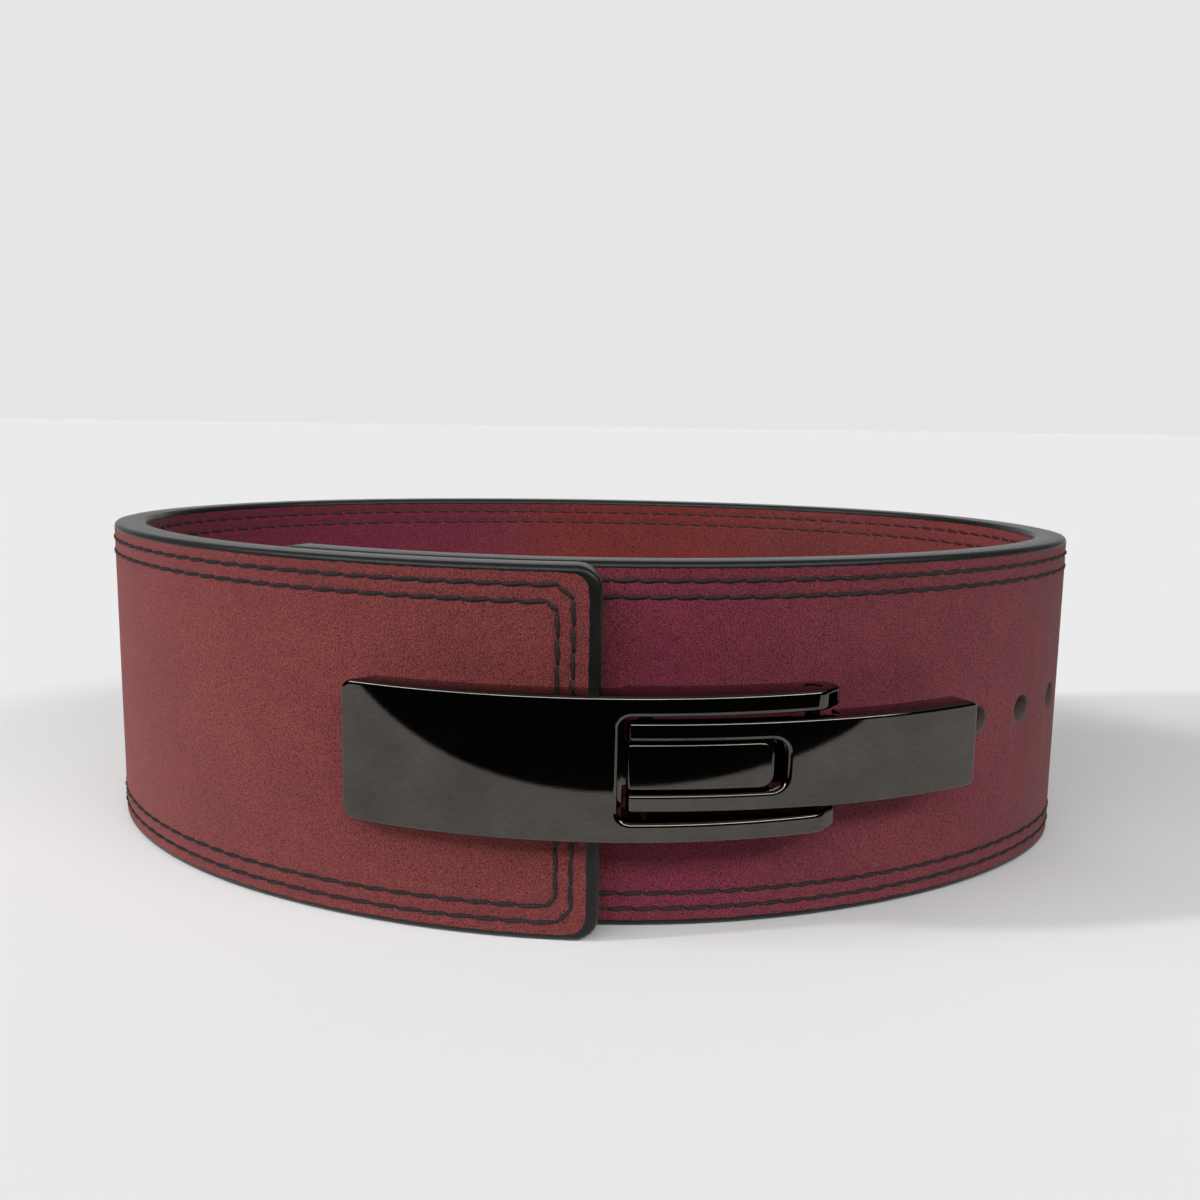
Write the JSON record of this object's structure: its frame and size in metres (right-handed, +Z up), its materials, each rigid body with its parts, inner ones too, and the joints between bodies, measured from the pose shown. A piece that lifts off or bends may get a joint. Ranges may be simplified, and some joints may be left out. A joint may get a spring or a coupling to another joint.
{
  "type": "weightlifting lever belt",
  "caption": "Wide leather lifting belt, closed and standing on its edge, with a lever buckle, a hook plate and a row of holes.",
  "frame": {"origin": "under the middle of the closed belt's outline, at the lower edge it stands on", "axes": "+Z up, along the strap's width; the buckle faces -Y; +X along the oval's long way, towards the hook plate's side"},
  "size_m": [0.3248, 0.248, 0.1],
  "materials": {
    "leather": "maroon nubuck faces with black painted edges",
    "black_metal": "polished black nickel plate",
    "steel": "plain turned steel"
  },
  "bodies": {
    "belt": {"belt_strap": "leather", "base_plate": "black_metal", "base_screw_1": "steel", "base_screw_2": "steel", "lever_pin": "steel"},
    "lever_arm": {"lever": "black_metal", "hook_pin_upper": "steel", "hook_pin_lower": "steel"},
    "hook": {"hook_plate": "black_metal"}
  },
  "joints": [
    {"name": "lever_hinge", "type": "hinge", "parent": "belt", "child": "lever_arm", "pos_m": [0.06131, -0.10833, 0.05], "axis": [0, 0, 1], "range_deg": [0, 105]},
    {"name": "hook_hinge", "type": "hinge", "parent": "lever_arm", "child": "hook", "pos_m": [0.0176, -0.11721, 0.05], "axis": [0, 0, 1], "range_deg": [-105, 0]}
  ],
  "couplings": [
    {"joint": "hook_hinge", "follows": "lever_hinge", "ratio": -1}
  ]
}
